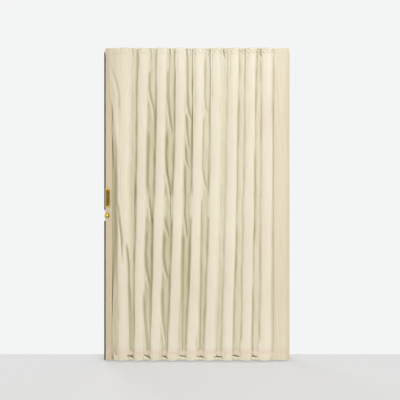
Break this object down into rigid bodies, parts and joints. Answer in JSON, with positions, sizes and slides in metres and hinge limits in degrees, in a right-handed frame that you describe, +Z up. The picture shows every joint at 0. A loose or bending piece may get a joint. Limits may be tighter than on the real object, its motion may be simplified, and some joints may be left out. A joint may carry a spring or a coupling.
{
  "type": "accordion folding door",
  "caption": "Pleated vinyl accordion door on a steel pantograph, hung from an overhead track, with a lead post, bow pulls and a turn latch.",
  "frame": {"origin": "centre of the top face of the overhead track", "axes": "+X along the track to the wall jamb, -Y to the side with the round knob, +Z up"},
  "size_m": [1.2, 0.159, 2.022],
  "materials": {
    "track_finish": "satin white enamel",
    "timber": "planed softwood",
    "plated_steel": "galvanised sheet",
    "zinc": "bright zinc plate",
    "nylon": "moulded nylon",
    "vinyl": "cream vinyl-coated cloth, fine grain, soft sheen",
    "edge_vinyl": "dark brown extruded vinyl",
    "brass": "polished, lightly aged"
  },
  "bodies": {
    "root": {"track": "track_finish", "wall_strip": "timber", "jamb_post": "plated_steel", "jamb_skin": "vinyl", "jamb_hinges": "plated_steel", "jamb_screws": "zinc"},
    "lead": {"lead_post": "plated_steel", "lead_skin": "vinyl", "edge_strip": "edge_vinyl", "lead_cap": "plated_steel", "lead_hinges": "plated_steel", "lead_trolley": "zinc", "lock_case": "plated_steel", "latch_plate": "brass", "front_rose": "brass", "back_rose": "brass", "front_pull": "brass", "back_pull": "brass", "pull_screws": "brass", "latch_screws": "brass"},
    "turn": {"spindle": "zinc", "front_knob": "brass", "back_turn": "brass"},
    "latch": {"latch_bolt": "brass"},
    "lead_wheels": {"lead_wheels": "nylon"},
    "link_u0": {"link_u0": "plated_steel"},
    "link_v0": {"link_v0": "plated_steel"},
    "link_u1": {"link_u1": "plated_steel"},
    "link_v1": {"link_v1": "plated_steel"},
    "link_u2": {"link_u2": "plated_steel"},
    "link_v2": {"link_v2": "plated_steel"},
    "link_u3": {"link_u3": "plated_steel"},
    "link_v3": {"link_v3": "plated_steel"},
    "link_u4": {"link_u4": "plated_steel"},
    "link_v4": {"link_v4": "plated_steel"},
    "link_u5": {"link_u5": "plated_steel"},
    "link_v5": {"link_v5": "plated_steel"},
    "link_u6": {"link_u6": "plated_steel"},
    "link_v6": {"link_v6": "plated_steel"},
    "link_u7": {"link_u7": "plated_steel"},
    "link_v7": {"link_v7": "plated_steel"},
    "link_u8": {"link_u8": "plated_steel"},
    "link_v8": {"link_v8": "plated_steel"},
    "link_u9": {"link_u9": "plated_steel"},
    "link_v9": {"link_v9": "plated_steel"},
    "trolley_2": {"trolley_2": "zinc"},
    "wheels_2": {"wheels_2": "nylon"},
    "trolley_4": {"trolley_4": "zinc"},
    "wheels_4": {"wheels_4": "nylon"},
    "trolley_6": {"trolley_6": "zinc"},
    "wheels_6": {"wheels_6": "nylon"},
    "trolley_8": {"trolley_8": "zinc"},
    "wheels_8": {"wheels_8": "nylon"},
    "front_pleats": {"front_mid_rod": "zinc", "front_cover": "vinyl"},
    "back_pleats": {"back_mid_rod": "zinc", "back_cover": "vinyl"}
  },
  "joints": [
    {"name": "fold", "type": "hinge", "parent": "root", "child": "link_v0", "pos_m": [0.4935, 0, -1], "axis": [0, 0, 1], "range_deg": [0, 41.73], "deforming": ["front_cover", "back_cover"]},
    {"name": "front_pivot_1", "type": "hinge", "parent": "link_v0", "child": "link_u1", "pos_m": [0.43656, -0.04881, -1], "axis": [0, 0, 1], "range_deg": [-83.46, 0]},
    {"name": "back_pivot_2", "type": "hinge", "parent": "link_u1", "child": "link_v2", "pos_m": [0.32267, 0.04881, -1], "axis": [0, 0, 1], "range_deg": [0, 83.46]},
    {"name": "front_pivot_3", "type": "hinge", "parent": "link_v2", "child": "link_u3", "pos_m": [0.20878, -0.04881, -1], "axis": [0, 0, 1], "range_deg": [-83.46, 0]},
    {"name": "back_pivot_4", "type": "hinge", "parent": "link_u3", "child": "link_v4", "pos_m": [0.09489, 0.04881, -1], "axis": [0, 0, 1], "range_deg": [0, 83.46]},
    {"name": "front_pivot_5", "type": "hinge", "parent": "link_v4", "child": "link_u5", "pos_m": [-0.019, -0.04881, -1], "axis": [0, 0, 1], "range_deg": [-83.46, 0]},
    {"name": "back_pivot_6", "type": "hinge", "parent": "link_u5", "child": "link_v6", "pos_m": [-0.13289, 0.04881, -1], "axis": [0, 0, 1], "range_deg": [0, 83.46]},
    {"name": "front_pivot_7", "type": "hinge", "parent": "link_v6", "child": "link_u7", "pos_m": [-0.24678, -0.04881, -1], "axis": [0, 0, 1], "range_deg": [-83.46, 0]},
    {"name": "back_pivot_8", "type": "hinge", "parent": "link_u7", "child": "link_v8", "pos_m": [-0.36067, 0.04881, -1], "axis": [0, 0, 1], "range_deg": [0, 83.46]},
    {"name": "front_pivot_9", "type": "hinge", "parent": "link_v8", "child": "link_u9", "pos_m": [-0.47456, -0.04881, -1], "axis": [0, 0, 1], "range_deg": [-83.46, 0]},
    {"name": "lead_pivot", "type": "hinge", "parent": "link_u9", "child": "lead", "pos_m": [-0.5315, 0, -1], "axis": [0, 0, 1], "range_deg": [0, 41.73]},
    {"name": "jamb_pivot_u", "type": "hinge", "parent": "root", "child": "link_u0", "pos_m": [0.4935, 0, -1], "axis": [0, 0, 1], "range_deg": [-41.73, 0]},
    {"name": "cross_pivot_1", "type": "hinge", "parent": "link_u1", "child": "link_v1", "pos_m": [0.37961, 0, -1], "axis": [0, 0, 1], "range_deg": [0, 83.46]},
    {"name": "cross_pivot_2", "type": "hinge", "parent": "link_v2", "child": "link_u2", "pos_m": [0.26572, 0, -1], "axis": [0, 0, 1], "range_deg": [-83.46, 0]},
    {"name": "cross_pivot_3", "type": "hinge", "parent": "link_u3", "child": "link_v3", "pos_m": [0.15183, 0, -1], "axis": [0, 0, 1], "range_deg": [0, 83.46]},
    {"name": "cross_pivot_4", "type": "hinge", "parent": "link_v4", "child": "link_u4", "pos_m": [0.03794, 0, -1], "axis": [0, 0, 1], "range_deg": [-83.46, 0]},
    {"name": "cross_pivot_5", "type": "hinge", "parent": "link_u5", "child": "link_v5", "pos_m": [-0.07594, 0, -1], "axis": [0, 0, 1], "range_deg": [0, 83.46]},
    {"name": "cross_pivot_6", "type": "hinge", "parent": "link_v6", "child": "link_u6", "pos_m": [-0.18983, 0, -1], "axis": [0, 0, 1], "range_deg": [-83.46, 0]},
    {"name": "cross_pivot_7", "type": "hinge", "parent": "link_u7", "child": "link_v7", "pos_m": [-0.30372, 0, -1], "axis": [0, 0, 1], "range_deg": [0, 83.46]},
    {"name": "cross_pivot_8", "type": "hinge", "parent": "link_v8", "child": "link_u8", "pos_m": [-0.41761, 0, -1], "axis": [0, 0, 1], "range_deg": [-83.46, 0]},
    {"name": "lead_pivot_v", "type": "hinge", "parent": "lead", "child": "link_v9", "pos_m": [-0.5315, 0, -1], "axis": [0, 0, 1], "range_deg": [0, 41.73]},
    {"name": "trolley_pivot_2", "type": "hinge", "parent": "link_v2", "child": "trolley_2", "pos_m": [0.26572, 0, -1], "axis": [0, 0, 1], "range_deg": [-41.73, 0]},
    {"name": "trolley_pivot_4", "type": "hinge", "parent": "link_v4", "child": "trolley_4", "pos_m": [0.03794, 0, -1], "axis": [0, 0, 1], "range_deg": [-41.73, 0]},
    {"name": "trolley_pivot_6", "type": "hinge", "parent": "link_v6", "child": "trolley_6", "pos_m": [-0.18983, 0, -1], "axis": [0, 0, 1], "range_deg": [-41.73, 0]},
    {"name": "trolley_pivot_8", "type": "hinge", "parent": "link_v8", "child": "trolley_8", "pos_m": [-0.41761, 0, -1], "axis": [0, 0, 1], "range_deg": [-41.73, 0]},
    {"name": "front_rod_pivot", "type": "hinge", "parent": "link_v4", "child": "front_pleats", "pos_m": [-0.019, -0.04881, -1], "axis": [0, 0, 1], "range_deg": [-41.73, 0]},
    {"name": "back_rod_pivot", "type": "hinge", "parent": "link_u4", "child": "back_pleats", "pos_m": [-0.019, 0.04881, -1], "axis": [0, 0, 1], "range_deg": [0, 41.73]},
    {"name": "wheels_2_roll", "type": "hinge", "parent": "trolley_2", "child": "wheels_2", "pos_m": [0.26572, 0, -0.0147], "axis": [0, 1, 0], "continuous": true},
    {"name": "wheels_4_roll", "type": "hinge", "parent": "trolley_4", "child": "wheels_4", "pos_m": [0.03794, 0, -0.0147], "axis": [0, 1, 0], "continuous": true},
    {"name": "wheels_6_roll", "type": "hinge", "parent": "trolley_6", "child": "wheels_6", "pos_m": [-0.18983, 0, -0.0147], "axis": [0, 1, 0], "continuous": true},
    {"name": "wheels_8_roll", "type": "hinge", "parent": "trolley_8", "child": "wheels_8", "pos_m": [-0.41761, 0, -0.0147], "axis": [0, 1, 0], "continuous": true},
    {"name": "lead_wheels_roll", "type": "hinge", "parent": "lead", "child": "lead_wheels", "pos_m": [-0.5714, 0, -0.0147], "axis": [0, 1, 0], "continuous": true},
    {"name": "knob_turn", "type": "hinge", "parent": "lead", "child": "turn", "pos_m": [-0.5805, 0, -1.086], "axis": [0, 1, 0], "range_deg": [0, 90]},
    {"name": "bolt_slide", "type": "slide", "parent": "lead", "child": "latch", "axis": [-1, 0, 0], "range_m": [0, 0.012]}
  ],
  "couplings": [
    {"joint": "front_pivot_1", "follows": "fold", "ratio": -2},
    {"joint": "back_pivot_2", "follows": "fold", "ratio": 2},
    {"joint": "front_pivot_3", "follows": "fold", "ratio": -2},
    {"joint": "back_pivot_4", "follows": "fold", "ratio": 2},
    {"joint": "front_pivot_5", "follows": "fold", "ratio": -2},
    {"joint": "back_pivot_6", "follows": "fold", "ratio": 2},
    {"joint": "front_pivot_7", "follows": "fold", "ratio": -2},
    {"joint": "back_pivot_8", "follows": "fold", "ratio": 2},
    {"joint": "front_pivot_9", "follows": "fold", "ratio": -2},
    {"joint": "lead_pivot", "follows": "fold", "ratio": 1},
    {"joint": "jamb_pivot_u", "follows": "fold", "ratio": -1},
    {"joint": "cross_pivot_1", "follows": "fold", "ratio": 2},
    {"joint": "cross_pivot_2", "follows": "fold", "ratio": -2},
    {"joint": "cross_pivot_3", "follows": "fold", "ratio": 2},
    {"joint": "cross_pivot_4", "follows": "fold", "ratio": -2},
    {"joint": "cross_pivot_5", "follows": "fold", "ratio": 2},
    {"joint": "cross_pivot_6", "follows": "fold", "ratio": -2},
    {"joint": "cross_pivot_7", "follows": "fold", "ratio": 2},
    {"joint": "cross_pivot_8", "follows": "fold", "ratio": -2},
    {"joint": "lead_pivot_v", "follows": "fold", "ratio": 1},
    {"joint": "trolley_pivot_2", "follows": "fold", "ratio": -1},
    {"joint": "trolley_pivot_4", "follows": "fold", "ratio": -1},
    {"joint": "trolley_pivot_6", "follows": "fold", "ratio": -1},
    {"joint": "trolley_pivot_8", "follows": "fold", "ratio": -1},
    {"joint": "front_rod_pivot", "follows": "fold", "ratio": -1},
    {"joint": "back_rod_pivot", "follows": "fold", "ratio": 1},
    {"joint": "bolt_slide", "follows": "knob_turn", "m_per_rad": 0.0076394}
  ]
}
